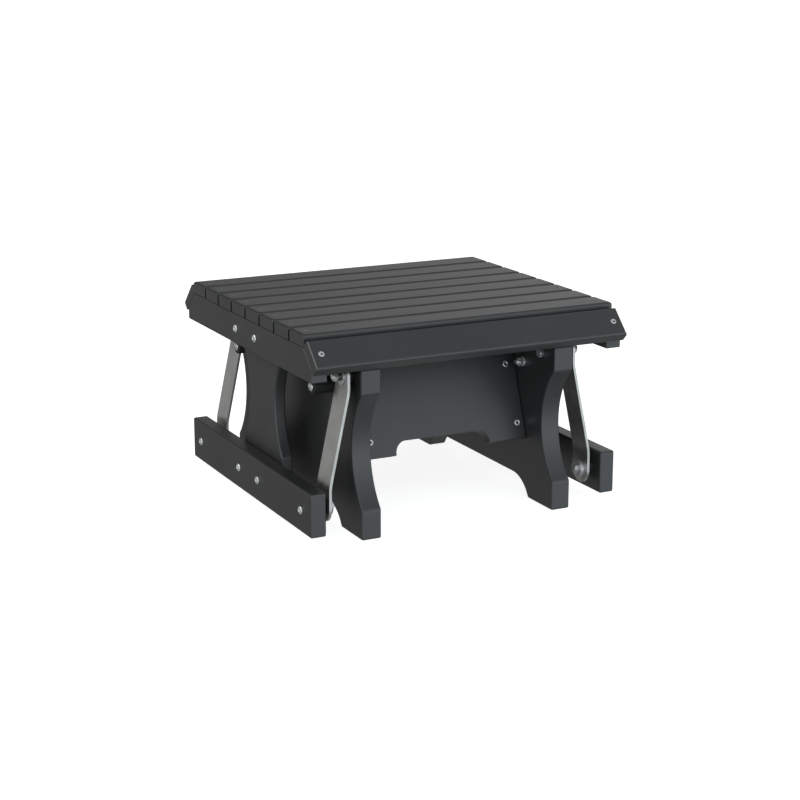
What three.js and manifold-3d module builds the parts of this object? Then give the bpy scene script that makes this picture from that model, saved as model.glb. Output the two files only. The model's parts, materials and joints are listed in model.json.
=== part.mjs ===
import * as THREE from 'three';
import { mergeVertices } from 'three/addons/utils/BufferGeometryUtils.js';
import Module from 'manifold-3d';

// A gliding footrest of black recycled-plastic boards. A fixed base stands on the floor, and the
// slatted seat frame hangs from it on four flat steel arms, so that it glides to the front and back.
// Millimetres. +Z is up, -Y is the front, X runs along the slats. The origin is on the floor,
// under the centre of the footrest.

const wasm = await Module();
wasm.setup();

const FIT_GAP = 0.3;

// Seat frame
const FRAME_HALF_WIDTH = 263.6;
const FRAME_BOARD = 25.4;
const FRAME_INNER_X = FRAME_HALF_WIDTH - FRAME_BOARD;
const BAR_HALF_LENGTH = 244.5;
const BAR_BOTTOM_Z = 15.3;
const BAR_TOP_Z = 83.3;
const RAIL_HALF_LENGTH = 252;
const RAIL_TOP_HALF_LENGTH = 225;
const RAIL_BOTTOM_Z = 253;
const RAIL_TOP_Z = 300.5;
const UPRIGHT_BOARD = 19;
const UPRIGHT_HALF_WIDTH = 77;
const UPRIGHT_WAIST = 50.5;
const UPRIGHT_WAIST_LOW_Z = 92;
const UPRIGHT_WAIST_HIGH_Z = 245;
const UPRIGHT_BOTTOM_Z = 18;

// Slats and the two sloping edge slats
const SLAT_COUNT = 8;
const SLAT_WIDTH = 50.8;
const SLAT_PITCH = 57.15;
const SLAT_THICKNESS = 19.5;
const SLAT_CHAMFER = 2.5;
const EDGE_SLAT_THICKNESS = 18;
const EDGE_SLAT_SLOPE = Math.PI / 4;
const EDGE_SLAT_DROP = 4.8;

// Base
const PANEL_OUTER_X = 180.8;
const PANEL_BOARD = 32.3;
const PANEL_INNER_X = PANEL_OUTER_X - PANEL_BOARD;
const PANEL_HALF_DEPTH = 246;
const PANEL_WAIST = 210.5;
const PANEL_WAIST_LOW_Z = 46;
const PANEL_WAIST_HIGH_Z = 224;
const PANEL_TOP_Z = 263;
const ARCH_HEIGHT = 31;
const ARCH_FLAT_HALF = 121;
const ARCH_FOOT_HALF = 171;

// Cross boards, which lean towards each other, and the cleats behind their ends
const CROSS_LEAN = THREE.MathUtils.degToRad(19.5);
const CROSS_FRONT_Y = 165;
const CROSS_BOTTOM_Z = 99;
const CROSS_HEIGHT = 165;
const CROSS_THICKNESS = 19;
const NOTCH_HALF_WIDTH = 82;
const NOTCH_HEIGHT = 22;
const NOTCH_RADIUS = 20;
const CLEAT_WIDTH = 38;
const CLEAT_DEPTH = 32;
const CLEAT_LENGTH = 130;

// Swing arms and their pivots
const PIVOT_Y = 207.8;
const UPPER_PIVOT_Z = 248;
const LOWER_PIVOT_Z = 50;
const ARM_LENGTH = UPPER_PIVOT_Z - LOWER_PIVOT_Z;
const ARM_WIDTH = 44.5;
const ARM_THICKNESS = 4.2;
const ARM_UPPER_BEND_Z = 227;
const ARM_LOWER_BEND_Z = 83;
const BEARING_RADIUS = 12.7;
const UPPER_BEARING = 10;
const LOWER_BEARING = 5;
const JAM_NUT_LENGTH = 5.4;
const ARM_UPPER_X = PANEL_OUTER_X + UPPER_BEARING + 2 * FIT_GAP;
const LOWER_STACK = LOWER_BEARING + JAM_NUT_LENGTH + 3 * FIT_GAP;
const ARM_LOWER_X = FRAME_INNER_X - LOWER_STACK - ARM_THICKNESS;

// Stop bumpers, which the waists of the uprights meet at the ends of the glide
const BUMPER_Y = 150.5;
const BUMPER_Z = 221.5;
const BUMPER_RADIUS = 12.7;
const BUMPER_END_X = 219;

// Fasteners
const PIVOT_SHANK = 4.75;
const UPPER_PIVOT_BOLT = {
  shank: PIVOT_SHANK,
  head: 8,
  headHeight: 6.5,
  dome: 0,
  collar: 7.6,
  collarLength: 5,
  washer: 13.5,
  washerThickness: 2,
  nut: 7.6,
  nutLength: 6,
  tip: 2,
};
const LOWER_PIVOT_BOLT = {
  shank: PIVOT_SHANK,
  head: 6.6,
  headHeight: 0,
  dome: 3.4,
  collar: 14.2,
  collarLength: 3.2,
  washer: 14.2,
  washerThickness: 1,
  nut: 7.2,
  nutLength: 6,
  tip: 1.8,
};
const FRAME_BOLT = {
  shank: 4,
  head: 6.6,
  headHeight: 0,
  dome: 3.4,
  collar: 0,
  collarLength: 0,
  washer: 9.5,
  washerThickness: 1.6,
  nut: 7.4,
  nutLength: 6.5,
  tip: 2,
};
const BUMPER_BOLT = {
  shank: 3.9,
  head: 7.2,
  headHeight: 0,
  dome: 3.5,
  collar: 0,
  collarLength: 0,
  washer: 8.5,
  washerThickness: 1.6,
  nut: 7.4,
  nutLength: 8,
  tip: 4,
};
const JAM_NUT = 7.2;
const FRAME_BOLT_Y = 39;
const RAIL_BOLT_Z = 277.5;
const BAR_BOLT_Z = LOWER_PIVOT_Z;

const BOARD_CHAMFER = 2;
const ARC_STEPS = 10;
const ROUND_STEPS = 12;

const blackBoard = new THREE.MeshStandardMaterial({ color: 0x2a2c2d, roughness: 0.5, metalness: 0 });
const brushedSteel = new THREE.MeshStandardMaterial({ color: 0xa9a9a4, roughness: 0.35, metalness: 1 });
const zincSteel = new THREE.MeshStandardMaterial({ color: 0xcfd1d3, roughness: 0.25, metalness: 1 });
const blackRubber = new THREE.MeshStandardMaterial({ color: 0x141414, roughness: 0.8, metalness: 0 });
const blackNylon = new THREE.MeshStandardMaterial({ color: 0x1c1c1c, roughness: 0.6, metalness: 0 });

const model = new THREE.Group();

function addPart(name, geometry, material, parent = model) {
  const mesh = new THREE.Mesh(geometry, material);
  mesh.name = name;
  parent.add(mesh);
  return mesh;
}

// Solids ---------------------------------------------------------------------------------------

function toSolid(geometry) {
  const bare = geometry.clone();
  bare.deleteAttribute('normal');
  bare.deleteAttribute('uv');
  const merged = mergeVertices(bare, 1e-4);
  return new wasm.Manifold(new wasm.Mesh({
    numProp: 3,
    vertProperties: new Float32Array(merged.attributes.position.array),
    triVerts: new Uint32Array(merged.index.array),
  }));
}

function toGeometry(solid) {
  const { vertProperties, triVerts } = solid.getMesh();
  const geometry = new THREE.BufferGeometry();
  geometry.setAttribute('position', new THREE.BufferAttribute(vertProperties, 3));
  geometry.setIndex(new THREE.BufferAttribute(triVerts, 1));
  geometry.computeVertexNormals();
  return geometry;
}

// An outline drawn in Y and Z becomes a board from x0 to x1, with its face edges chamfered.
function boardAlongX(shape, x0, x1, chamfer = BOARD_CHAMFER) {
  const geometry = new THREE.ExtrudeGeometry(shape, {
    depth: x1 - x0 - 2 * chamfer,
    bevelEnabled: chamfer > 0,
    bevelThickness: chamfer,
    bevelSize: chamfer,
    bevelOffset: -chamfer,
    bevelSegments: 1,
    curveSegments: ARC_STEPS,
  });
  geometry.translate(0, 0, x0 + chamfer);
  const yzx = new THREE.Matrix4().makeBasis(
    new THREE.Vector3(0, 1, 0),
    new THREE.Vector3(0, 0, 1),
    new THREE.Vector3(1, 0, 0),
  );
  return geometry.applyMatrix4(yzx);
}

function rodAlongX(radius, x0, x1, y, z, sides = ROUND_STEPS) {
  const geometry = new THREE.CylinderGeometry(radius, radius, x1 - x0, sides);
  geometry.rotateZ(Math.PI / 2);
  return geometry.translate((x0 + x1) / 2, y, z);
}

// Round holes right through a board, each given as [y, z, radius].
function drillAlongX(geometry, holes) {
  geometry.computeBoundingBox();
  const { min, max } = geometry.boundingBox;
  let solid = toSolid(geometry);
  for (const [y, z, radius] of holes) {
    solid = solid.subtract(toSolid(rodAlongX(radius, min.x - 1, max.x + 1, y, z)));
  }
  return toGeometry(solid);
}

function polygon(points) {
  return new THREE.Shape(points.map(([u, v]) => new THREE.Vector2(u, v)));
}

function chamferedBox(halfWidth, halfHeight, chamfer) {
  const w = halfWidth;
  const h = halfHeight;
  const c = chamfer;
  return [
    [w - c, -h], [w, -h + c], [w, h - c], [w - c, h],
    [-w + c, h], [-w, h - c], [-w, -h + c], [-w + c, -h],
  ];
}

// The hourglass side of a board: a circular bite between two heights, drawn up the +Y side or
// down the -Y side.
function addWaist(shape, side, edge, waist, lowZ, highZ) {
  const halfChord = (highZ - lowZ) / 2;
  const depth = edge - waist;
  const radius = (halfChord ** 2 + depth ** 2) / (2 * depth);
  const half = Math.asin(halfChord / radius);
  const facing = side > 0 ? Math.PI : 0;
  const centreZ = (lowZ + highZ) / 2;
  shape.absarc(side * (waist + radius), centreZ, radius, facing + half, facing - half, true);
}

// Base -----------------------------------------------------------------------------------------

function sidePanelShape() {
  const shape = new THREE.Shape();
  const run = ARCH_FOOT_HALF - ARCH_FLAT_HALF;
  const radius = (run ** 2 + ARCH_HEIGHT ** 2) / (2 * ARCH_HEIGHT);
  const sweep = Math.asin(run / radius);
  const top = Math.PI / 2;
  shape.moveTo(ARCH_FOOT_HALF, 0);
  shape.lineTo(PANEL_HALF_DEPTH, 0);
  addWaist(shape, 1, PANEL_HALF_DEPTH, PANEL_WAIST, PANEL_WAIST_LOW_Z, PANEL_WAIST_HIGH_Z);
  shape.lineTo(PANEL_HALF_DEPTH, PANEL_TOP_Z);
  shape.lineTo(-PANEL_HALF_DEPTH, PANEL_TOP_Z);
  addWaist(shape, -1, PANEL_HALF_DEPTH, PANEL_WAIST, PANEL_WAIST_LOW_Z, PANEL_WAIST_HIGH_Z);
  shape.lineTo(-PANEL_HALF_DEPTH, 0);
  shape.lineTo(-ARCH_FOOT_HALF, 0);
  shape.absarc(-ARCH_FLAT_HALF, ARCH_HEIGHT - radius, radius, top + sweep, top, true);
  shape.absarc(ARCH_FLAT_HALF, ARCH_HEIGHT - radius, radius, top, top - sweep, true);
  return shape;
}

function sidePanel() {
  const board = boardAlongX(sidePanelShape(), PANEL_INNER_X, PANEL_OUTER_X);
  const holes = [];
  for (const end of [-1, 1]) {
    holes.push([end * PIVOT_Y, UPPER_PIVOT_Z, PIVOT_SHANK + FIT_GAP]);
    holes.push([end * BUMPER_Y, BUMPER_Z, BUMPER_BOLT.shank + FIT_GAP]);
  }
  return drillAlongX(board, holes);
}

// A cross board lies in its own frame: x along the board, y up its face, and its face at z = 0.
function crossBoard() {
  const halfLength = PANEL_INNER_X - FIT_GAP;
  const shape = new THREE.Shape();
  const shoulder = NOTCH_HEIGHT - NOTCH_RADIUS;
  shape.moveTo(NOTCH_HALF_WIDTH, 0);
  shape.lineTo(halfLength, 0);
  shape.lineTo(halfLength, CROSS_HEIGHT);
  shape.lineTo(-halfLength, CROSS_HEIGHT);
  shape.lineTo(-halfLength, 0);
  shape.lineTo(-NOTCH_HALF_WIDTH, 0);
  shape.absarc(-NOTCH_HALF_WIDTH + NOTCH_RADIUS, shoulder, NOTCH_RADIUS, Math.PI, Math.PI / 2, true);
  shape.absarc(NOTCH_HALF_WIDTH - NOTCH_RADIUS, shoulder, NOTCH_RADIUS, Math.PI / 2, 0, true);
  const geometry = new THREE.ExtrudeGeometry(shape, {
    depth: CROSS_THICKNESS,
    bevelEnabled: false,
    curveSegments: 8,
  });
  return geometry.translate(0, 0, -CROSS_THICKNESS);
}

function cleat(side) {
  const geometry = new THREE.BoxGeometry(CLEAT_WIDTH, CLEAT_LENGTH, CLEAT_DEPTH);
  const x = side * (PANEL_INNER_X - FIT_GAP - CLEAT_WIDTH / 2);
  const z = -CROSS_THICKNESS - FIT_GAP - CLEAT_DEPTH / 2;
  return geometry.translate(x, CROSS_HEIGHT / 2 + 5, z);
}

function leaningFrame(end) {
  const turn = new THREE.Group();
  turn.rotation.z = end === 'front' ? 0 : Math.PI;
  const lean = new THREE.Group();
  lean.position.set(0, -CROSS_FRONT_Y, CROSS_BOTTOM_Z);
  lean.rotation.x = Math.PI / 2 - CROSS_LEAN;
  turn.add(lean);
  model.add(turn);
  return lean;
}

// Fasteners ------------------------------------------------------------------------------------

// The turned outline of a bolt with its head at 0 and everything on its nut end from grip onwards:
// a flat washer, an optional collar, then room for the nut and the tip of the thread.
function boltProfile(grip, size) {
  const washerEnd = grip + size.washerThickness;
  const collarEnd = washerEnd + size.collarLength;
  const tipEnd = collarEnd + size.nutLength + size.tip;
  const profile = [[0, -size.headHeight - size.dome]];
  if (size.dome > 0) {
    profile.push([size.head * 0.7, -size.headHeight - size.dome * 0.7]);
  }
  profile.push([size.head, -size.headHeight]);
  if (size.headHeight > 0) {
    profile.push([size.head, 0]);
  }
  profile.push([size.shank, 0], [size.shank, grip]);
  profile.push([size.washer, grip], [size.washer, washerEnd]);
  if (size.collarLength > 0) {
    profile.push([size.collar, washerEnd], [size.collar, collarEnd]);
  }
  profile.push([size.shank, collarEnd], [size.shank, tipEnd], [0, tipEnd]);
  return profile.filter((point, i) => i === 0 || !samePoint(point, profile[i - 1]));
}

function samePoint(a, b) {
  return a[0] === b[0] && a[1] === b[1];
}

function hexNut(radius, start, length) {
  const nut = new THREE.CylinderGeometry(radius, radius, length, 6);
  return toSolid(nut.translate(0, start + length / 2, 0));
}

// A bolt along X: its head stands on the face at headX, and its washer and nut stand on the face
// at nutX, on the far side of everything that it clamps. A jam nut may follow the first board.
function boltAlongX(headX, nutX, size, jamNutAt = 0) {
  const grip = Math.abs(nutX - headX);
  const nutStart = grip + size.washerThickness + size.collarLength;
  const points = boltProfile(grip, size).map(([radius, along]) => new THREE.Vector2(radius, along));
  let bolt = toSolid(new THREE.LatheGeometry(points, ROUND_STEPS));
  bolt = bolt.add(hexNut(size.nut, nutStart - 0.2, size.nutLength + 0.2));
  if (jamNutAt > 0) {
    bolt = bolt.add(hexNut(JAM_NUT, jamNutAt, JAM_NUT_LENGTH));
  }
  const geometry = toGeometry(bolt);
  geometry.rotateZ(nutX > headX ? -Math.PI / 2 : Math.PI / 2);
  return geometry.translate(headX, 0, 0);
}

// Swing arms -----------------------------------------------------------------------------------

// The arm hangs from its upper pivot at y = z = 0. It is a flat bar bent outwards and back again
// between its pivots, with round ends.
function swingArm() {
  const joggle = ARM_LOWER_X - ARM_UPPER_X;
  const upperBend = ARM_UPPER_BEND_Z - UPPER_PIVOT_Z;
  const lowerBend = ARM_LOWER_BEND_Z - UPPER_PIVOT_Z;
  const halfWidth = ARM_WIDTH / 2;
  const bendAngle = Math.atan(joggle / (upperBend - lowerBend));
  const rise = ARM_THICKNESS * Math.tan(bendAngle / 2);
  const x = ARM_UPPER_X;
  const top = halfWidth + 1;
  const bottom = -ARM_LENGTH - halfWidth - 1;
  const side = polygon([
    [x, top],
    [x, upperBend],
    [x + joggle, lowerBend],
    [x + joggle, bottom],
    [x + joggle + ARM_THICKNESS, bottom],
    [x + joggle + ARM_THICKNESS, lowerBend + rise],
    [x + ARM_THICKNESS, upperBend + rise],
    [x + ARM_THICKNESS, top],
  ]);
  const strip = new THREE.ExtrudeGeometry(side, { depth: ARM_WIDTH + 2, bevelEnabled: false });
  strip.rotateX(Math.PI / 2);
  strip.translate(0, halfWidth + 1, 0);
  const outline = new THREE.Shape();
  outline.absarc(0, 0, halfWidth, 0, Math.PI, false);
  outline.absarc(0, -ARM_LENGTH, halfWidth, Math.PI, 2 * Math.PI, false);
  const plate = boardAlongX(outline, x - 5, x + joggle + ARM_THICKNESS + 5, 0);
  const arm = toGeometry(toSolid(strip).intersect(toSolid(plate)));
  const hole = PIVOT_SHANK + FIT_GAP;
  return drillAlongX(arm, [[0, 0, hole], [0, -ARM_LENGTH, hole]]);
}

function bearing(x0, length) {
  const bore = PIVOT_SHANK + FIT_GAP;
  const ring = [
    [bore, 0],
    [BEARING_RADIUS, 0],
    [BEARING_RADIUS, length],
    [bore, length],
    [bore, 0],
  ];
  const points = ring.map(([radius, along]) => new THREE.Vector2(radius, along));
  const geometry = new THREE.LatheGeometry(points, ROUND_STEPS);
  geometry.rotateZ(-Math.PI / 2);
  return geometry.translate(x0, 0, 0);
}

function bumper() {
  const bore = BUMPER_BOLT.shank + FIT_GAP;
  const x0 = PANEL_OUTER_X + FIT_GAP;
  return drillAlongX(rodAlongX(BUMPER_RADIUS, x0, BUMPER_END_X, 0, 0), [[0, 0, bore]]);
}

// Seat -----------------------------------------------------------------------------------------

function uprightShape() {
  const top = RAIL_TOP_Z - FIT_GAP;
  const edge = UPRIGHT_HALF_WIDTH;
  const shape = new THREE.Shape();
  shape.moveTo(-edge, UPRIGHT_BOTTOM_Z);
  shape.lineTo(edge, UPRIGHT_BOTTOM_Z);
  addWaist(shape, 1, edge, UPRIGHT_WAIST, UPRIGHT_WAIST_LOW_Z, UPRIGHT_WAIST_HIGH_Z);
  shape.lineTo(edge, top);
  shape.lineTo(-edge, top);
  addWaist(shape, -1, edge, UPRIGHT_WAIST, UPRIGHT_WAIST_LOW_Z, UPRIGHT_WAIST_HIGH_Z);
  return shape;
}

function upright() {
  const outer = FRAME_INNER_X - FIT_GAP;
  const board = boardAlongX(uprightShape(), outer - UPRIGHT_BOARD, outer);
  const radius = FRAME_BOLT.shank + FIT_GAP;
  const holes = [];
  for (const y of [-FRAME_BOLT_Y, FRAME_BOLT_Y]) {
    holes.push([y, RAIL_BOLT_Z, radius], [y, BAR_BOLT_Z, radius]);
  }
  return drillAlongX(board, holes);
}

function lowerBar() {
  const outline = polygon([
    [-BAR_HALF_LENGTH, BAR_BOTTOM_Z],
    [BAR_HALF_LENGTH, BAR_BOTTOM_Z],
    [BAR_HALF_LENGTH, BAR_TOP_Z],
    [-BAR_HALF_LENGTH, BAR_TOP_Z],
  ]);
  const frameHole = FRAME_BOLT.shank + FIT_GAP;
  const pivotHole = PIVOT_SHANK + FIT_GAP;
  return drillAlongX(boardAlongX(outline, FRAME_INNER_X, FRAME_HALF_WIDTH), [
    [-PIVOT_Y, LOWER_PIVOT_Z, pivotHole],
    [-FRAME_BOLT_Y, BAR_BOLT_Z, frameHole],
    [FRAME_BOLT_Y, BAR_BOLT_Z, frameHole],
    [PIVOT_Y, LOWER_PIVOT_Z, pivotHole],
  ]);
}

function seatRail() {
  const cutZ = RAIL_TOP_Z - (RAIL_HALF_LENGTH - RAIL_TOP_HALF_LENGTH) * Math.tan(EDGE_SLAT_SLOPE);
  const outline = polygon([
    [-RAIL_HALF_LENGTH, RAIL_BOTTOM_Z],
    [RAIL_HALF_LENGTH, RAIL_BOTTOM_Z],
    [RAIL_HALF_LENGTH, cutZ],
    [RAIL_TOP_HALF_LENGTH, RAIL_TOP_Z],
    [-RAIL_TOP_HALF_LENGTH, RAIL_TOP_Z],
    [-RAIL_HALF_LENGTH, cutZ],
  ]);
  const hole = FRAME_BOLT.shank + FIT_GAP;
  return drillAlongX(boardAlongX(outline, FRAME_INNER_X, FRAME_HALF_WIDTH), [
    [-FRAME_BOLT_Y, RAIL_BOLT_Z, hole],
    [FRAME_BOLT_Y, RAIL_BOLT_Z, hole],
  ]);
}

function slat(y) {
  const section = polygon(chamferedBox(SLAT_WIDTH / 2, SLAT_THICKNESS / 2, SLAT_CHAMFER));
  const geometry = boardAlongX(section, -FRAME_HALF_WIDTH, FRAME_HALF_WIDTH);
  return geometry.translate(0, y, RAIL_TOP_Z + FIT_GAP + SLAT_THICKNESS / 2);
}

// A sloping edge slat lies on the slanted ends of the seat rails.
function edgeSlat() {
  const section = polygon(chamferedBox(SLAT_WIDTH / 2, EDGE_SLAT_THICKNESS / 2, SLAT_CHAMFER));
  const geometry = boardAlongX(section, -FRAME_HALF_WIDTH, FRAME_HALF_WIDTH);
  const middleY = (RAIL_HALF_LENGTH + RAIL_TOP_HALF_LENGTH) / 2;
  const middleZ = RAIL_TOP_Z - ((RAIL_HALF_LENGTH - RAIL_TOP_HALF_LENGTH) / 2) * Math.tan(EDGE_SLAT_SLOPE);
  geometry.translate(0, -EDGE_SLAT_DROP, EDGE_SLAT_THICKNESS / 2 + FIT_GAP);
  geometry.rotateX(EDGE_SLAT_SLOPE);
  return geometry.translate(0, -middleY, middleZ);
}

// Assembly -------------------------------------------------------------------------------------

function buildBase() {
  addPart('side_panel_right', sidePanel(), blackBoard);
  addPart('side_panel_left', sidePanel(), blackBoard).rotation.z = Math.PI;
  for (const end of ['front', 'rear']) {
    const frame = leaningFrame(end);
    addPart(`cross_board_${end}`, crossBoard(), blackBoard, frame);
    const right = end === 'front' ? 1 : -1;
    addPart(`cleat_${end}_right`, cleat(right), blackBoard, frame);
    addPart(`cleat_${end}_left`, cleat(-right), blackBoard, frame);
  }
}

// The pieces at one corner are drawn for the right side, and turned about Z for the left side.
function cornerFrame(end, side) {
  const frame = new THREE.Group();
  frame.rotation.z = side === 'right' ? 0 : Math.PI;
  frame.userData.towardsEnd = (end === 'front' ? -1 : 1) * (side === 'right' ? 1 : -1);
  model.add(frame);
  return frame;
}

function buildCorner(end, side) {
  const frame = cornerFrame(end, side);
  const corner = `${end}_${side}`;
  const add = (name, geometry, material, y, z) => {
    const mesh = addPart(`${name}_${corner}`, geometry, material, frame);
    mesh.position.set(0, y * frame.userData.towardsEnd, z);
  };
  const addUpper = (name, geometry, material) => add(name, geometry, material, PIVOT_Y, UPPER_PIVOT_Z);
  const addLower = (name, geometry, material) => add(name, geometry, material, PIVOT_Y, LOWER_PIVOT_Z);
  const addStop = (name, geometry, material) => add(name, geometry, material, BUMPER_Y, BUMPER_Z);

  addUpper('swing_arm', swingArm(), brushedSteel);
  addUpper('upper_bearing', bearing(PANEL_OUTER_X + FIT_GAP, UPPER_BEARING), blackNylon);
  const upperNutX = ARM_UPPER_X + ARM_THICKNESS + FIT_GAP;
  addUpper('upper_pivot_bolt', boltAlongX(PANEL_INNER_X - FIT_GAP, upperNutX, UPPER_PIVOT_BOLT), zincSteel);

  const lowerBearingX = ARM_LOWER_X + ARM_THICKNESS + FIT_GAP;
  addLower('lower_bearing', bearing(lowerBearingX, LOWER_BEARING), blackNylon);
  const headX = FRAME_HALF_WIDTH + FIT_GAP;
  const jamNutAt = FRAME_BOARD + 2 * FIT_GAP;
  const lowerBolt = boltAlongX(headX, ARM_LOWER_X - FIT_GAP, LOWER_PIVOT_BOLT, jamNutAt);
  addLower('lower_pivot_bolt', lowerBolt, zincSteel);

  addStop('stop_bumper', bumper(), blackRubber);
  addStop('stop_bolt', boltAlongX(BUMPER_END_X + FIT_GAP, PANEL_INNER_X - FIT_GAP, BUMPER_BOLT), zincSteel);

  const frameNutX = FRAME_INNER_X - UPRIGHT_BOARD - 2 * FIT_GAP;
  const frameBolt = boltAlongX(headX, frameNutX, FRAME_BOLT);
  add('rail_bolt', frameBolt, zincSteel, FRAME_BOLT_Y, RAIL_BOLT_Z);
  add('bar_bolt', frameBolt.clone(), zincSteel, FRAME_BOLT_Y, BAR_BOLT_Z);
}

function buildSeat() {
  for (const [side, turn] of [['right', 0], ['left', Math.PI]]) {
    addPart(`lower_bar_${side}`, lowerBar(), blackBoard).rotation.z = turn;
    addPart(`seat_rail_${side}`, seatRail(), blackBoard).rotation.z = turn;
    addPart(`upright_${side}`, upright(), blackBoard).rotation.z = turn;
  }
  for (let i = 0; i < SLAT_COUNT; i += 1) {
    addPart(`slat_${i + 1}`, slat((i - (SLAT_COUNT - 1) / 2) * SLAT_PITCH), blackBoard);
  }
  addPart('edge_slat_front', edgeSlat(), blackBoard);
  addPart('edge_slat_rear', edgeSlat(), blackBoard).rotation.z = Math.PI;
}

buildBase();
buildSeat();
for (const end of ['front', 'rear']) {
  for (const side of ['left', 'right']) {
    buildCorner(end, side);
  }
}

export default model;
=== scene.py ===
"""The looks of the gliding footrest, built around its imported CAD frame. Metres, +Z up, -Y is the front."""

import json
import math

import bmesh
import bpy
from mathutils import Matrix, Vector


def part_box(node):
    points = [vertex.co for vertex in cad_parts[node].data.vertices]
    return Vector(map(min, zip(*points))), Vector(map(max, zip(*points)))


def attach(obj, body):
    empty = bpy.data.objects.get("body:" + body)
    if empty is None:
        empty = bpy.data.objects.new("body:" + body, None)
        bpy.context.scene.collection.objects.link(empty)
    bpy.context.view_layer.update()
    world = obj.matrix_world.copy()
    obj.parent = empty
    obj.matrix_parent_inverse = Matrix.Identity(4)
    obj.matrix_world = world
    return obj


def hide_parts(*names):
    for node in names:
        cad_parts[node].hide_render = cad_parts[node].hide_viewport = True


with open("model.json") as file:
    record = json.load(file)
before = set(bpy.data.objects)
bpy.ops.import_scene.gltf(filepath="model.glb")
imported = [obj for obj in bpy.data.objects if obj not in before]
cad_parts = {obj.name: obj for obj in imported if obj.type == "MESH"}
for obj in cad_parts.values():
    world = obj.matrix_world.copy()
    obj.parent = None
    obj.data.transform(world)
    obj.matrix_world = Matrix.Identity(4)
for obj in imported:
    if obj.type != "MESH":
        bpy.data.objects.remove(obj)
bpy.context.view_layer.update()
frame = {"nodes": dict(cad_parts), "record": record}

MM = 0.001
ENDS = ("front", "rear")
SIDES = ("left", "right")
CORNERS = [f"{end}_{side}" for end in ENDS for side in SIDES]

# Camera
CAMERA_PLACE = Vector((-1.3092, -2.6300, 0.9077))
CAMERA_YAW = 0.4635
CAMERA_PITCH = 0.2557
CAMERA_LENS = 83.7

# Shapes that the frame's boxes don't give
BOARD_ROUND = 3.0 * MM
RAIL_ROUND = 1.2 * MM
SLAT_ROUND = 4.2 * MM
PANEL_WAIST = 210.5 * MM
PANEL_WAIST_HEIGHTS = (46 * MM, 224 * MM)
ARCH_HEIGHT = 31 * MM
ARCH_FLAT_HALF = 121 * MM
ARCH_FOOT_HALF = 171 * MM
UPRIGHT_WAIST = 50.5 * MM
UPRIGHT_WAIST_HEIGHTS = (92 * MM, 245 * MM)
CROSS_LEAN = math.radians(19.5)
CROSS_THICKNESS = 19 * MM
NOTCH_HALF_WIDTH = 82 * MM
NOTCH_HEIGHT = 22 * MM
NOTCH_RADIUS = 20 * MM
EDGE_SLOPE = math.radians(45)
RAIL_END_CUT = 27 * MM
SLAT_WIDTH = 50.8 * MM
EDGE_SLAT_THICKNESS = 18 * MM
CLEAT_WIDTH = 38 * MM
CLEAT_DEPTH = 32 * MM
CLEAT_LENGTH = 130 * MM
ARM_WIDTH = 44.5 * MM
ARM_THICKNESS = 4.2 * MM
ARM_BEND_HEIGHTS = (227 * MM, 83 * MM)
ARM_BEND_BLEND = 7 * MM

# Screws: the slats' and edge slats' are countersunk, the cross boards' have washer heads
SLAT_SCREW_X = 248 * MM
SLAT_SCREW_RADIUS = 3.6 * MM
EDGE_SCREW_RADIUS = 4.6 * MM
CROSS_SCREW_RADIUS = 5.2 * MM
CROSS_SCREW_PLACES = ((-124 * MM, 26 * MM), (136 * MM, 26 * MM), (-131 * MM, 121 * MM), (131 * MM, 121 * MM))

# Bolts in millimetres. Every bolt is turned about its own axis from its head's end.
FRAME_BOLT = {
    "head": 6.6,
    "dome": 3.4,
    "flat": 0.0,
    "shank": 4.0,
    "washer": (9.5, 1.6),
    "hub": (0.0, 0.0),
    "lip": (0.0, 0.0),
    "nut": (7.4, 6.5),
    "tip": 2.0,
}
LOWER_PIVOT_BOLT = dict(FRAME_BOLT, shank=4.75, washer=(14.2, 1.4), hub=(12.8, 3.4), tip=1.6)
LOWER_PIVOT_BOLT.update(lip=(13.8, 1.4), nut=(6.9, 4.2))
BUMPER_BOLT = dict(FRAME_BOLT, head=7.2, dome=3.5, shank=3.9, washer=(8.5, 1.6), nut=(7.4, 8.0), tip=4.0)
UPPER_PIVOT_BOLT = {
    "head": 8.0,
    "dome": 0.0,
    "flat": 6.5,
    "shank": 4.75,
    "washer": (13.5, 2.0),
    "hub": (7.6, 5.0),
    "lip": (0.0, 0.0),
    "nut": (7.6, 6.0),
    "tip": 2.0,
}
JAM_NUT = (7.2, 5.4)
JAM_NUT_PLACE = 26.0
SOCKET_RADIUS = 3.1
SOCKET_DEPTH = 2.2


# Materials -------------------------------------------------------------------------------------

# Linear colours
BOARD_DARK = (0.0180, 0.0188, 0.0193)
BOARD_LIGHT = (0.0250, 0.0258, 0.0265)
BOARD_STREAK = (0.035, 0.036, 0.037)
STEEL = (0.60, 0.60, 0.58)
STEEL_DULL = (0.51, 0.51, 0.49)
BRIGHT_ZINC = (0.80, 0.80, 0.80)
DULL_ZINC = (0.66, 0.66, 0.66)
DARK_STEEL = (0.10, 0.10, 0.10)
DARK_STEEL_DULL = (0.06, 0.06, 0.06)
SCREW_STEEL = (0.34, 0.34, 0.34)
SCREW_STEEL_DULL = (0.24, 0.24, 0.24)
# The bumpers' rubber black, which also serves as painted shade in the screws' sockets and round their heads
RUBBER_AND_SCREW_SHADE_BLACK = (0.010, 0.010, 0.010)
NYLON_BLACK = (0.012, 0.012, 0.012)


def new_material(name, roughness, metallic=0.0):
    material = bpy.data.materials.new(name)
    material.use_nodes = True
    shader = material.node_tree.nodes["Principled BSDF"]
    shader.inputs["Roughness"].default_value = roughness
    shader.inputs["Metallic"].default_value = metallic
    return material, shader


def add_node(tree, kind, **settings):
    """A new node, with its sockets or its own settings filled in by name."""
    node = tree.nodes.new(kind)
    for key, value in settings.items():
        if key in node.inputs:
            node.inputs[key].default_value = value
        else:
            setattr(node, key, value)
    return node


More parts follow.
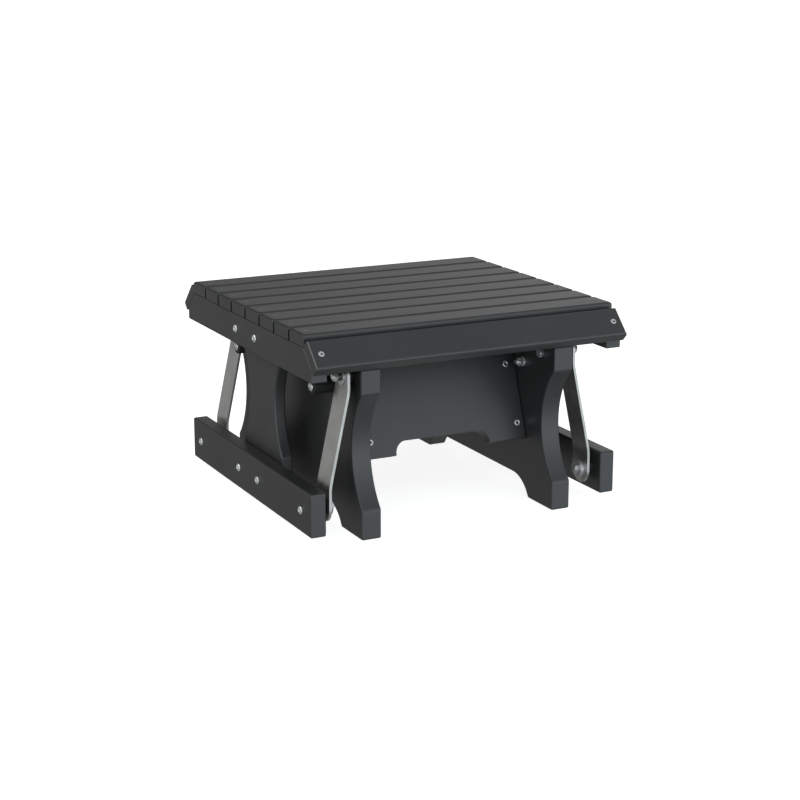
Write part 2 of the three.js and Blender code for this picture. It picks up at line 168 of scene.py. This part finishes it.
def stretched_noise(tree, stretch, scale, detail=4.0):
    """Noise in the piece's own coordinates, stretched along the axes by stretch."""
    place = add_node(tree, "ShaderNodeTexCoord")
    mapping = add_node(tree, "ShaderNodeMapping", Scale=stretch)
    noise = add_node(tree, "ShaderNodeTexNoise", Scale=scale, Detail=detail)
    tree.links.new(place.outputs["Object"], mapping.inputs["Vector"])
    tree.links.new(mapping.outputs["Vector"], noise.inputs["Vector"])
    return noise.outputs["Fac"]


def remap(tree, value, low, high, out_low, out_high, kind="LINEAR"):
    node = add_node(tree, "ShaderNodeMapRange", interpolation_type=kind)
    node.inputs["From Min"].default_value = low
    node.inputs["From Max"].default_value = high
    node.inputs["To Min"].default_value = out_low
    node.inputs["To Max"].default_value = out_high
    tree.links.new(value, node.inputs["Value"])
    return node.outputs["Result"]


def mix_colours(tree, factor, first, second):
    """first and second are colours or colour outputs."""
    node = add_node(tree, "ShaderNodeMix", data_type="RGBA")
    for socket, colour in ((node.inputs[6], first), (node.inputs[7], second)):
        if isinstance(colour, tuple):
            socket.default_value = (*colour, 1.0)
        else:
            tree.links.new(colour, socket)
    tree.links.new(factor, node.inputs[0])
    return node.outputs[2]


def add_bump(tree, height, strength, distance, below=None):
    node = add_node(tree, "ShaderNodeBump", Strength=strength, Distance=distance)
    tree.links.new(height, node.inputs["Height"])
    if below is not None:
        tree.links.new(below, node.inputs["Normal"])
    return node.outputs["Normal"]


def board_material(name, grain_axis):
    """Black solid-colour plastic lumber: very faint drawn lines along the board and a fine pebble."""
    material, shader = new_material(name, 0.4)
    tree = material.node_tree
    stretch = [60.0, 60.0, 60.0]
    stretch[grain_axis] = 1.2
    grain = stretched_noise(tree, tuple(stretch), 5.0)
    cloud = stretched_noise(tree, (1.0, 1.0, 1.0), 9.0)
    pebble = stretched_noise(tree, (1.0, 1.0, 1.0), 1100.0, 2.0)
    base = mix_colours(tree, remap(tree, cloud, 0.3, 0.7, 0.0, 1.0), BOARD_DARK, BOARD_LIGHT)
    streaked = mix_colours(tree, remap(tree, grain, 0.5, 0.85, 0.0, 0.35), base, BOARD_STREAK)
    tree.links.new(streaked, shader.inputs["Base Color"])
    tree.links.new(remap(tree, grain, 0.3, 0.7, 0.39, 0.44), shader.inputs["Roughness"])
    lines = add_bump(tree, grain, 0.05, 0.0003)
    tree.links.new(add_bump(tree, pebble, 0.12, 0.0001, lines), shader.inputs["Normal"])
    shader.inputs["Specular IOR Level"].default_value = 0.95
    return material


def metal_material(name, colour, dull, roughness, brush, metallic=1.0):
    """Steel with fine brushing and small dull stains."""
    material, shader = new_material(name, roughness, metallic)
    tree = material.node_tree
    brushing = stretched_noise(tree, brush, 10.0)
    stains = stretched_noise(tree, (1.0, 1.0, 1.0), 40.0)
    tone = mix_colours(tree, remap(tree, stains, 0.4, 0.75, 0.0, 1.0), colour, dull)
    tree.links.new(tone, shader.inputs["Base Color"])
    low, high = roughness * 0.85, roughness * 1.25
    tree.links.new(remap(tree, brushing, 0.3, 0.7, low, high), shader.inputs["Roughness"])
    tree.links.new(add_bump(tree, brushing, 0.12, 0.0002), shader.inputs["Normal"])
    return material


def dark_material(name, colour, roughness, grit):
    """Rubber or nylon: a soft mottle and a fine grit."""
    material, shader = new_material(name, roughness)
    tree = material.node_tree
    mottle = stretched_noise(tree, (1.0, 1.0, 1.0), 60.0)
    fine = stretched_noise(tree, (1.0, 1.0, 1.0), grit, 2.0)
    paler = tuple(channel * 1.6 for channel in colour)
    tone = mix_colours(tree, remap(tree, mottle, 0.35, 0.7, 0.0, 1.0), colour, paler)
    tree.links.new(tone, shader.inputs["Base Color"])
    tree.links.new(add_bump(tree, fine, 0.2, 0.0002), shader.inputs["Normal"])
    return material


BOARD = [board_material(f"poly_board_{axis}", index) for index, axis in enumerate("xyz")]
ARM_STEEL = metal_material("arm_steel", STEEL, STEEL_DULL, 0.36, (40.0, 40.0, 1.5))
ZINC = metal_material("zinc", BRIGHT_ZINC, DULL_ZINC, 0.33, (8.0, 8.0, 8.0), 0.8)
GREY_STEEL = metal_material("grey_steel", SCREW_STEEL, SCREW_STEEL_DULL, 0.4, (9.0, 9.0, 9.0))
BLACK_STEEL = metal_material("black_steel", DARK_STEEL, DARK_STEEL_DULL, 0.35, (12.0, 12.0, 12.0))
# Rubber for the bumpers; as the screws' second material the same black is painted shade in their sockets and
# round their heads
RUBBER_AND_SCREW_SHADE = dark_material("rubber_and_screw_shade", RUBBER_AND_SCREW_SHADE_BLACK, 0.6, 1200.0)
NYLON = dark_material("nylon", NYLON_BLACK, 0.45, 1500.0)


# Meshes ----------------------------------------------------------------------------------------


def new_piece(name, code, body, materials, replaced=(), place=Matrix.Identity(4)):
    """A named piece from filled bmesh code, riding on a body."""
    mesh = bpy.data.meshes.new(name)
    code.transform(place)
    bmesh.ops.recalc_face_normals(code, faces=code.faces)
    code.to_mesh(mesh)
    code.free()
    for material in materials:
        mesh.materials.append(material)
    for face in mesh.polygons:
        face.use_smooth = True
    piece = bpy.data.objects.new(name, mesh)
    bpy.context.scene.collection.objects.link(piece)
    if replaced:
        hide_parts(*replaced)
    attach(piece, body)
    return piece


def round_edges(piece, radius, segments=4, face=None):
    """Rounds the sharp edges. If face is given, the edges that lie on the far side along that
    direction get the whole radius, and the others a fifth of it."""
    bevel = piece.modifiers.new("round_edges", "BEVEL")
    bevel.width = radius
    bevel.segments = segments
    if face is None:
        bevel.limit_method = "ANGLE"
        bevel.angle_limit = math.radians(28)
    else:
        bevel.limit_method = "WEIGHT"
        mesh = piece.data
        weights = mesh.attributes.new("bevel_weight_edge", "FLOAT", "EDGE")
        reach = [vertex.co.dot(face) for vertex in mesh.vertices]
        far = max(reach) - 0.1 * MM
        for edge in mesh.edges:
            on_face = all(reach[index] > far for index in edge.vertices)
            weights.data[edge.index].value = 1.0 if on_face else 0.2
    even = piece.modifiers.new("even_normals", "WEIGHTED_NORMAL")
    even.keep_sharp = True
    even.weight = 100


def joined(parts):
    """One bmesh from several (bmesh, place) pairs."""
    whole = bmesh.new()
    for code, place in parts:
        code.transform(place)
        spare = bpy.data.meshes.new("spare")
        code.to_mesh(spare)
        code.free()
        whole.from_mesh(spare)
        bpy.data.meshes.remove(spare)
    return whole


def prism(outline, low, high):
    """A board in its own frame: the outline in x and y, its faces at z = low and z = high."""
    code = bmesh.new()
    bottom = [code.verts.new((u, v, low)) for u, v in outline]
    top = [code.verts.new((u, v, high)) for u, v in outline]
    code.faces.new(reversed(bottom))
    code.faces.new(top)
    count = len(outline)
    for i in range(count):
        j = (i + 1) % count
        code.faces.new((bottom[i], bottom[j], top[j], top[i]))
    return code


ROUND = 0
HEX = 6
TURN_STEPS = 36


def ring_radius(radius, sides, angle):
    """The distance to a ring's outline: a circle, or a hexagon whose corners are at radius."""
    if sides == ROUND:
        return radius
    part = 2 * math.pi / sides
    return radius * math.cos(part / 2) / math.cos((angle % part) - part / 2)


def turned(profile, second=(0.0, 0.0)):
    """A turned solid about z from (radius, height, sides) rings, in millimetres. It starts and ends
    on the axis, or closes on itself around a bore. Faces between the heights of second take the
    second material."""
    code = bmesh.new()
    rings = []
    for radius, height, sides in profile:
        if radius < 1e-6:
            rings.append([code.verts.new((0, 0, height * MM))])
            continue
        ring = []
        for step in range(TURN_STEPS):
            angle = 2 * math.pi * step / TURN_STEPS
            reach = ring_radius(radius, sides, angle) * MM
            ring.append(code.verts.new((reach * math.cos(angle), reach * math.sin(angle), height * MM)))
        rings.append(ring)
    pairs = list(zip(rings, rings[1:]))
    if profile[0][0] > 1e-6:
        pairs.append((rings[-1], rings[0]))
    for lower, upper in pairs:
        for i in range(TURN_STEPS):
            j = (i + 1) % TURN_STEPS
            loop = [lower[i % len(lower)], lower[j % len(lower)], upper[j % len(upper)], upper[i % len(upper)]]
            corners = list(dict.fromkeys(loop))
            if len(corners) < 3:
                continue
            face = code.faces.new(corners)
            height = face.calc_center_median().z / MM
            face.material_index = 1 if second[0] < height < second[1] else 0
    return code


YZX = Matrix(((0, 0, 1, 0), (1, 0, 0, 0), (0, 1, 0, 0), (0, 0, 0, 1)))


def along_x(x, y, z, direction):
    """Places a turned solid with its start at a point and its axis along X, either way."""
    flip = Matrix.Diagonal((1, 1, direction, 1))
    return Matrix.Translation((x, y, z)) @ YZX @ flip


def waist_points(side, edge, waist, heights, steps=40):
    """The bitten side of an hourglass board, from its lower to its upper kink."""
    low, high = heights
    half = (high - low) / 2
    depth = edge - waist
    radius = (half**2 + depth**2) / (2 * depth)
    sweep = math.asin(half / radius)
    middle = (low + high) / 2
    points = []
    for step in range(steps + 1):
        angle = sweep * (2 * step / steps - 1)
        y = waist + radius - radius * math.cos(angle)
        points.append((side * y, middle + radius * math.sin(angle)))
    return points


def arc_points(centre, radius, start, end, steps=14):
    points = []
    for step in range(steps + 1):
        angle = start + (end - start) * step / steps
        points.append((centre[0] + radius * math.cos(angle), centre[1] + radius * math.sin(angle)))
    return points


def panel_outline(node):
    low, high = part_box(node)
    edge = high[1]
    top = high[2]
    run = ARCH_FOOT_HALF - ARCH_FLAT_HALF
    radius = (run**2 + ARCH_HEIGHT**2) / (2 * ARCH_HEIGHT)
    sweep = math.asin(run / radius)
    up = math.pi / 2
    outline = [(ARCH_FOOT_HALF, 0.0), (edge, 0.0)]
    outline += waist_points(1, edge, PANEL_WAIST, PANEL_WAIST_HEIGHTS)
    outline += [(edge, top), (-edge, top)]
    outline += reversed(waist_points(-1, edge, PANEL_WAIST, PANEL_WAIST_HEIGHTS))
    outline += [(-edge, 0.0), (-ARCH_FOOT_HALF, 0.0)]
    centre_z = ARCH_HEIGHT - radius
    outline += arc_points((-ARCH_FLAT_HALF, centre_z), radius, up + sweep, up)[1:]
    outline += arc_points((ARCH_FLAT_HALF, centre_z), radius, up, up - sweep)[:-1]
    return outline


def upright_outline(node):
    low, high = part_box(node)
    edge = high[1]
    outline = [(-edge, low[2]), (edge, low[2])]
    outline += waist_points(1, edge, UPRIGHT_WAIST, UPRIGHT_WAIST_HEIGHTS)
    outline += [(edge, high[2]), (-edge, high[2])]
    outline += reversed(waist_points(-1, edge, UPRIGHT_WAIST, UPRIGHT_WAIST_HEIGHTS))
    return outline


def board_along_x(name, node, outline, body, grain, radius=BOARD_ROUND, face=None):
    """Replaces a CAD board whose outline lies in Y and Z."""
    low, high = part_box(node)
    code = prism(outline, low[0], high[0])
    piece = new_piece(name, code, body, [BOARD[grain]], (node,), YZX)
    round_edges(piece, radius, 4, face)
    return piece


def rectangle(low, high):
    return [(low[0], low[1]), (high[0], low[1]), (high[0], high[1]), (low[0], high[1])]


def build_panels():
    for side in SIDES:
        node = f"side_panel_{side}"
        board_along_x(f"panel_{side}", node, panel_outline(node), "base", 1)


def build_uprights():
    for side in SIDES:
        node = f"upright_{side}"
        board_along_x(f"hourglass_{side}", node, upright_outline(node), "seat", 2)


def build_bars():
    for side in SIDES:
        node = f"lower_bar_{side}"
        low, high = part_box(node)
        board_along_x(f"bar_{side}", node, rectangle(low[1:], high[1:]), "seat", 1)


def build_rails():
    for side in SIDES:
        node = f"seat_rail_{side}"
        low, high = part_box(node)
        cut = RAIL_END_CUT
        outline = [
            (low[1], low[2]),
            (high[1], low[2]),
            (high[1], high[2] - cut),
            (high[1] - cut, high[2]),
            (low[1] + cut, high[2]),
            (low[1], high[2] - cut),
        ]
        board_along_x(f"rail_{side}", node, outline, "seat", 1, RAIL_ROUND)


def build_slats():
    for index in range(1, 9):
        node = f"slat_{index}"
        low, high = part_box(node)
        outline = rectangle(low[1:], high[1:])
        board_along_x(f"slat_board_{index}", node, outline, "seat", 0, SLAT_ROUND, Vector((0, 0, 1)))


def lean_place(end):
    """The frame of a leaning cross board: x along it, y up its face, its face at z = 0."""
    low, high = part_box("cross_board_front")
    turn = Matrix.Rotation(0.0 if end == "front" else math.pi, 4, "Z")
    foot_z = low[2] + CROSS_THICKNESS * math.sin(CROSS_LEAN)
    lean = Matrix.Rotation(math.pi / 2 - CROSS_LEAN, 4, "X")
    return turn @ Matrix.Translation((0, low[1], foot_z)) @ lean


def cross_board_outline():
    low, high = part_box("cross_board_front")
    half = high[0]
    height = (high[2] - low[2] - CROSS_THICKNESS * math.sin(CROSS_LEAN)) / math.cos(CROSS_LEAN)
    corner = (NOTCH_HALF_WIDTH - NOTCH_RADIUS, NOTCH_HEIGHT - NOTCH_RADIUS)
    outline = [(NOTCH_HALF_WIDTH, 0.0), (half, 0.0), (half, height), (-half, height), (-half, 0.0)]
    outline += [(-NOTCH_HALF_WIDTH, 0.0)]
    outline += arc_points((-corner[0], corner[1]), NOTCH_RADIUS, math.pi, math.pi / 2)
    outline += arc_points(corner, NOTCH_RADIUS, math.pi / 2, 0.0)
    return outline, half, height


def build_cross_boards():
    outline, half, height = cross_board_outline()
    for end in ENDS:
        code = prism(outline, -CROSS_THICKNESS, 0.0)
        node = f"cross_board_{end}"
        piece = new_piece(f"cross_{end}", code, "base", [BOARD[0]], (node,), lean_place(end))
        round_edges(piece, 1.5 * MM)


def build_cleats():
    outline, half, height = cross_board_outline()
    middle = height / 2 + 5 * MM
    back = -CROSS_THICKNESS - 0.3 * MM
    for end in ENDS:
        for side in SIDES:
            towards = (1 if side == "right" else -1) * (1 if end == "front" else -1)
            inner = towards * (half - CLEAT_WIDTH)
            low = (min(inner, towards * half), middle - CLEAT_LENGTH / 2)
            high = (max(inner, towards * half), middle + CLEAT_LENGTH / 2)
            code = prism(rectangle(low, high), back - CLEAT_DEPTH, back)
            node = f"cleat_{end}_{side}"
            name = f"cleat_block_{end}_{side}"
            piece = new_piece(name, code, "base", [BOARD[2]], (node,), lean_place(end))
            round_edges(piece, 2 * MM)


def edge_slat_place(end):
    low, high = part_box("edge_slat_front")
    turn = Matrix.Rotation(0.0 if end == "front" else math.pi, 4, "Z")
    centre = Vector((0, (low[1] + high[1]) / 2, (low[2] + high[2]) / 2))
    return turn @ Matrix.Translation(centre) @ Matrix.Rotation(EDGE_SLOPE, 4, "X")


def build_edge_slats():
    low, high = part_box("edge_slat_front")
    w = SLAT_WIDTH / 2
    t = EDGE_SLAT_THICKNESS / 2
    for end in ENDS:
        code = prism([(-w, -t), (w, -t), (w, t), (-w, t)], low[0], high[0])
        place = edge_slat_place(end) @ YZX
        node = f"edge_slat_{end}"
        piece = new_piece(f"edge_board_{end}", code, "seat", [BOARD[0]], (node,), place)
        outward = edge_slat_place(end).to_3x3() @ Vector((0, 0, 1))
        round_edges(piece, SLAT_ROUND, 4, outward)


# Arms, bearings and bumpers --------------------------------------------------------------------


def smooth_step(value):
    t = min(max(value, 0.0), 1.0)
    return t * t * (3 - 2 * t)


def arm_offset(z):
    """How far along the outward bend the arm is at a height, from 0 at the top to 1 at the bottom."""
    high, low = ARM_BEND_HEIGHTS
    run = high - low
    linear = (high - z) / run
    for corner, sign in ((0.0, 1), (1.0, -1)):
        reach = ARM_BEND_BLEND / run
        gap = linear - corner
        if abs(gap) < reach:
            return corner + sign * (sign * gap + reach) ** 2 / (4 * reach)
    return min(max(linear, 0.0), 1.0)


def arm_stations(low_z, high_z):
    """(z, half width) down the arm: a half circle, the straight length with both bends, a half circle."""
    radius = ARM_WIDTH / 2
    steps = 14
    stations = []
    for step in range(steps):
        angle = math.pi / 2 * (1 - step / steps)
        stations.append((high_z - radius + radius * math.sin(angle), radius * math.cos(angle)))
    for bend in ARM_BEND_HEIGHTS:
        for step in range(9):
            stations.append((bend + ARM_BEND_BLEND * (1 - step / 4), radius))
    for step in range(steps + 1):
        angle = math.pi / 2 * step / steps
        stations.append((low_z + radius - radius * math.sin(angle), radius * math.cos(angle)))
    return stations


def build_arm(corner):
    node = f"swing_arm_{corner}"
    low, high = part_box(node)
    side = 1 if corner.endswith("right") else -1
    middle_y = (low[1] + high[1]) / 2
    top_x = low[0] if side > 0 else high[0]
    joggle = high[0] - low[0] - ARM_THICKNESS
    code = bmesh.new()
    rows = []
    for z, half in arm_stations(low[2], high[2]):
        inner = top_x + side * joggle * arm_offset(z)
        outer = inner + side * ARM_THICKNESS
        widths = (-half, half) if half > 1e-6 else (0.0,)
        rows.append([[code.verts.new((x, middle_y + w, z)) for w in widths] for x in (inner, outer)])
    for upper, lower in zip(rows, rows[1:]):
        for face in (0, 1):
            loop = [upper[face][0], upper[face][-1], lower[face][-1], lower[face][0]]
            code.faces.new(list(dict.fromkeys(loop)))
        for edge in (0, -1):
            code.faces.new([upper[0][edge], upper[1][edge], lower[1][edge], lower[0][edge]])
    piece = new_piece(f"flat_arm_{corner}", code, f"arm_{corner}", [ARM_STEEL], (node,))
    round_edges(piece, 0.7 * MM, 2)


def tube(bore, radius, length, lip):
    """A turned tube whose outer corners are cut back by lip."""
    return [
        (bore, 0.0, ROUND),
        (radius - lip, 0.0, ROUND),
        (radius, lip, ROUND),
        (radius, length - lip, ROUND),
        (radius - lip, length, ROUND),
        (bore, length, ROUND),
    ]


def build_tube(name, node, body, material, bore, lip):
    low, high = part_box(node)
    radius = (high[2] - low[2]) / 2 / MM
    length = (high[0] - low[0]) / MM
    place = along_x(low[0], (low[1] + high[1]) / 2, (low[2] + high[2]) / 2, 1)
    piece = new_piece(name, turned(tube(bore, radius, length, lip)), body, [material], (node,), place)
    round_edges(piece, 0.4 * MM, 2)


def body_of(node):
    for body, nodes in frame["record"]["behaviour"]["bodies"].items():
        if node in nodes:
            return body
    return "base"


def build_bearings_and_bumpers():
    for corner in CORNERS:
        for level in ("upper", "lower"):
            node = f"{level}_bearing_{corner}"
            build_tube(f"{level}_flange_{corner}", node, body_of(node), NYLON, 5.2, 0.8)
        node = f"stop_bumper_{corner}"
        build_tube(f"bumper_{corner}", node, body_of(node), RUBBER_AND_SCREW_SHADE, 4.4, 1.2)


# Fasteners -------------------------------------------------------------------------------------


def dome_points(radius, height, sink, steps=7):
    """A button head with a hex socket, from the socket's floor out to the head's rim."""
    points = [(0.0, sink + SOCKET_DEPTH * 0.3, ROUND), (SOCKET_RADIUS, sink, HEX)]
    start = math.asin((SOCKET_RADIUS * 1.06) / radius)
    for step in range(steps + 1):
        angle = start + (math.pi / 2 - start) * step / steps
        points.append((radius * math.sin(angle), height * (1 - math.cos(angle)), ROUND))
    return points


def nut_points(radius, start, length):
    """A hexagonal nut with both ends turned down to a circle."""
    flat = radius * math.cos(math.pi / 6)
    return [
        (flat, start, ROUND),
        (radius, start + 0.7, HEX),
        (radius, start + length - 0.7, HEX),
        (flat, start + length, ROUND),
    ]


def thread_points(radius, start, length):
    pitch = 0.8
    points = []
    count = max(1, int(length / pitch))
    for turn in range(count):
        z = start + turn * pitch
        points += [(radius - 0.5, z + 0.1, ROUND), (radius, z + 0.45, ROUND)]
    points += [(radius - 0.8, start + length, ROUND), (0.0, start + length, ROUND)]
    return points


def bolt_profile(size, total, jam_nut):
    """The rings of a whole bolt, and the heights of its hub."""
    head_end = size["dome"] + size["flat"]
    washer, washer_length = size["washer"]
    hub, hub_length = size["hub"]
    lip, lip_length = size["lip"]
    nut, nut_length = size["nut"]
    nut_start = total - size["tip"] - nut_length
    lip_start = nut_start - lip_length
    washer_start = lip_start - hub_length - washer_length
    shank = size["shank"]
    if size["dome"] > 0:
        points = dome_points(size["head"], size["dome"], SOCKET_DEPTH)
    else:
        points = [(0.0, 0.0, ROUND)] + nut_points(size["head"], 0.0, size["flat"])
    points.append((shank, head_end, ROUND))
    if jam_nut:
        points.append((shank, head_end + JAM_NUT_PLACE, ROUND))
        points += nut_points(JAM_NUT[0], head_end + JAM_NUT_PLACE, JAM_NUT[1])
        points.append((shank, head_end + JAM_NUT_PLACE + JAM_NUT[1], ROUND))
    points.append((shank, washer_start, ROUND))
    points += [(washer, washer_start, ROUND), (washer, washer_start + washer_length, ROUND)]
    if hub_length > 0:
        points += [(hub - 0.5, washer_start + washer_length, ROUND)]
        points += [(hub - 0.5, lip_start, ROUND)]
    if lip_length > 0:
        points += [(lip, lip_start, ROUND), (lip, nut_start, ROUND)]
    points += nut_points(nut, nut_start, nut_length)
    points += thread_points(shank, total - size["tip"], size["tip"])
    return points, (washer_start + washer_length + 0.01, nut_start)


def build_bolt(name, node, size, head_outside, jam_nut=False, dark_hub=False):
    low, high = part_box(node)
    side = 1 if high[0] > 0 else -1
    direction = -side if head_outside else side
    start = high[0] if direction < 0 else low[0]
    points, hub = bolt_profile(size, (high[0] - low[0]) / MM, jam_nut)
    place = along_x(start, (low[1] + high[1]) / 2, (low[2] + high[2]) / 2, direction)
    code = turned(points, hub if dark_hub else (0.0, 0.0))
    materials = [ZINC, BLACK_STEEL]
    piece = new_piece(name, code, body_of(node), materials, (node,), place)
    round_edges(piece, 0.25 * MM, 2)


def build_bolts():
    for corner in CORNERS:
        build_bolt(f"rail_bolt_zinc_{corner}", f"rail_bolt_{corner}", FRAME_BOLT, True)
        build_bolt(f"bar_bolt_zinc_{corner}", f"bar_bolt_{corner}", FRAME_BOLT, True)
        build_bolt(f"lower_bolt_zinc_{corner}", f"lower_pivot_bolt_{corner}", LOWER_PIVOT_BOLT, True, True)
        build_bolt(f"stop_bolt_zinc_{corner}", f"stop_bolt_{corner}", BUMPER_BOLT, True)
        node = f"upper_pivot_bolt_{corner}"
        build_bolt(f"upper_bolt_zinc_{corner}", node, UPPER_PIVOT_BOLT, False, False, True)


def screw(radius, rise):
    """A screw head that stands rise above z = 0, with a socket and its rim sunk in the board. The socket and
    the head's side below its rounded edge take the second material, a black that is painted shade in the
    socket and round the head.
    """
    r = radius / MM
    profile = [
        (0.0, rise - 1.3, ROUND),
        (r * 0.36, rise - 1.2, HEX),
        (r * 0.40, rise - 0.1, HEX),
        (r * 0.8, rise, ROUND),
        (r, rise - 0.45, ROUND),
        (r, -1.0, ROUND),
        (0.0, -1.0 - 0.4, ROUND),
    ]
    # The socket and the head's side below its rounded edge take the second material: painted shade
    return turned(profile, (rise - 1.4, rise - 0.5))


def build_slat_screws():
    for side in (-1, 1):
        parts = []
        for index in range(1, 9):
            low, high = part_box(f"slat_{index}")
            spot = Vector((side * SLAT_SCREW_X, (low[1] + high[1]) / 2, high[2]))
            parts.append((screw(SLAT_SCREW_RADIUS, 0.35), Matrix.Translation(spot)))
        name = f"slat_screws_{'left' if side < 0 else 'right'}"
        # The black second material is painted shade in the sockets and round the heads
        new_piece(name, joined(parts), "seat", [GREY_STEEL, RUBBER_AND_SCREW_SHADE])


def build_edge_screws():
    for end in ENDS:
        parts = []
        face = Matrix.Translation((0, 0, EDGE_SLAT_THICKNESS / 2))
        for x in (-SLAT_SCREW_X, SLAT_SCREW_X):
            place = edge_slat_place(end) @ Matrix.Translation((x, 0, 0)) @ face
            parts.append((screw(EDGE_SCREW_RADIUS, 0.6), place))
        # The black second material is painted shade in the sockets and round the heads
        new_piece(f"edge_screws_{end}", joined(parts), "seat", [ZINC, RUBBER_AND_SCREW_SHADE])


def build_cross_screws():
    for end in ENDS:
        parts = []
        for x, y in CROSS_SCREW_PLACES:
            place = lean_place(end) @ Matrix.Translation((x, y, 0))
            parts.append((screw(CROSS_SCREW_RADIUS, 1.2), place))
        # The black second material is painted shade in the sockets and round the heads
        new_piece(f"cross_screws_{end}", joined(parts), "base", [ZINC, RUBBER_AND_SCREW_SHADE])


def finish_cad_nodes():
    """Every CAD node's own finish."""
    finishes = {
        "poly_board": BOARD[2],
        "steel_arm": ARM_STEEL,
        "zinc_fastener": ZINC,
        "rubber_stop": RUBBER_AND_SCREW_SHADE,
        "nylon_bearing": NYLON,
    }
    for row in frame["record"]["subparts"]:
        node = frame["nodes"][row["node"]]
        node.data.materials.clear()
        node.data.materials.append(finishes[row["material_slot"]])


# Studio ----------------------------------------------------------------------------------------

# The light around the object by direction: a broad bright band near the horizon, strongest in
# front, and darkness above and below
FRONT_LIGHT = 1.35
BACK_LIGHT = 0.57
LEFT_SHARE = 0.84
MIDDLE_SHARE = 0.34
RIGHT_SHARE = 7.0
OVERHEAD_SHARE = 0.52
UNDER_SHARE = 0.05
FLOOR_BOUNCE = 0.30
SIDE_LIGHT_PLACE = Vector((-2.2, 0.1, 2.3))
SIDE_LIGHT_SIZE = (1.6, 1.1)
SIDE_LIGHT_POWER = 27.0
FLOOR_HALF_SIZE = 60.0
FLOOR_GLOW = 0.86


def build_camera():
    data = bpy.data.cameras.new("camera")
    data.lens = CAMERA_LENS
    data.sensor_width = 36.0
    data.clip_end = 200.0
    camera = bpy.data.objects.new("camera", data)
    bpy.context.scene.collection.objects.link(camera)
    camera.location = CAMERA_PLACE
    camera.rotation_euler = (math.pi / 2 - CAMERA_PITCH, 0.0, -CAMERA_YAW)
    bpy.context.scene.camera = camera


def combine(tree, operation, first, second):
    node = add_node(tree, "ShaderNodeMath", operation=operation)
    tree.links.new(first, node.inputs[0])
    tree.links.new(second, node.inputs[1])
    return node.outputs[0]


def build_world():
    world = bpy.data.worlds.new("studio")
    bpy.context.scene.world = world
    world.use_nodes = True
    tree = world.node_tree
    place = add_node(tree, "ShaderNodeTexCoord")
    split = add_node(tree, "ShaderNodeSeparateXYZ")
    tree.links.new(place.outputs["Generated"], split.inputs[0])
    x, y, z = split.outputs
    front = remap(tree, y, -0.75, 0.25, FRONT_LIGHT, 0.0, "SMOOTHSTEP")
    back = remap(tree, y, -0.5, 0.5, 0.0, BACK_LIGHT, "SMOOTHSTEP")
    left = remap(tree, x, -0.7, -0.05, LEFT_SHARE, MIDDLE_SHARE, "SMOOTHSTEP")
    right = remap(tree, x, 0.15, 0.75, 1.0, RIGHT_SHARE, "SMOOTHSTEP")
    shaped = combine(tree, "MULTIPLY", back, combine(tree, "MULTIPLY", left, right))
    around = combine(tree, "ADD", front, shaped)
    above = remap(tree, z, -0.15, 0.6, 1.0, OVERHEAD_SHARE, "SMOOTHSTEP")
    below = remap(tree, z, -0.7, -0.05, UNDER_SHARE, 1.0, "SMOOTHSTEP")
    direct = combine(tree, "MULTIPLY", around, combine(tree, "MULTIPLY", above, below))
    bounce = remap(tree, z, -0.75, -0.35, FLOOR_BOUNCE, 0.0, "SMOOTHSTEP")
    strength = combine(tree, "ADD", direct, bounce)
    blue = remap(tree, y, -0.6, 0.2, 1.0, 0.0, "SMOOTHSTEP")
    tint = mix_colours(tree, blue, (1.0, 1.0, 1.0), (0.93, 1.0, 1.05))
    background = tree.nodes["Background"]
    tree.links.new(tint, background.inputs["Color"])
    tree.links.new(strength, background.inputs["Strength"])


def build_floor():
    code = bmesh.new()
    bmesh.ops.create_grid(code, x_segments=1, y_segments=1, size=FLOOR_HALF_SIZE)
    mesh = bpy.data.meshes.new("floor")
    code.to_mesh(mesh)
    code.free()
    floor = bpy.data.objects.new("floor", mesh)
    bpy.context.scene.collection.objects.link(floor)
    paint, shader = new_material("floor_paint", 0.9)
    shader.inputs["Base Color"].default_value = (0.8, 0.8, 0.8, 1.0)
    shader.inputs["Specular IOR Level"].default_value = 0.0
    shader.inputs["Emission Color"].default_value = (1.0, 1.0, 1.0, 1.0)
    shader.inputs["Emission Strength"].default_value = FLOOR_GLOW
    mesh.materials.append(paint)
    floor.visible_diffuse = False
    floor.visible_glossy = False


def build_side_light():
    """A softbox high on the left, which picks out the rounded ends of the boards."""
    data = bpy.data.lights.new("side_light", "AREA")
    data.shape = "RECTANGLE"
    data.size = SIDE_LIGHT_SIZE[0]
    data.size_y = SIDE_LIGHT_SIZE[1]
    data.energy = SIDE_LIGHT_POWER
    light = bpy.data.objects.new("side_light", data)
    bpy.context.scene.collection.objects.link(light)
    light.location = SIDE_LIGHT_PLACE
    light.rotation_euler = (Vector((0, 0, 0.2)) - SIDE_LIGHT_PLACE).to_track_quat("-Z", "Y").to_euler()


def build_studio():
    bpy.context.scene.view_settings.view_transform = "Standard"
    build_world()
    build_side_light()
    build_floor()


build_camera()
build_studio()
finish_cad_nodes()
build_panels()
build_uprights()
build_bars()
build_rails()
build_slats()
build_cross_boards()
build_cleats()
build_edge_slats()
for corner_name in CORNERS:
    build_arm(corner_name)
build_bearings_and_bumpers()
build_bolts()
build_slat_screws()
build_edge_screws()
build_cross_screws()
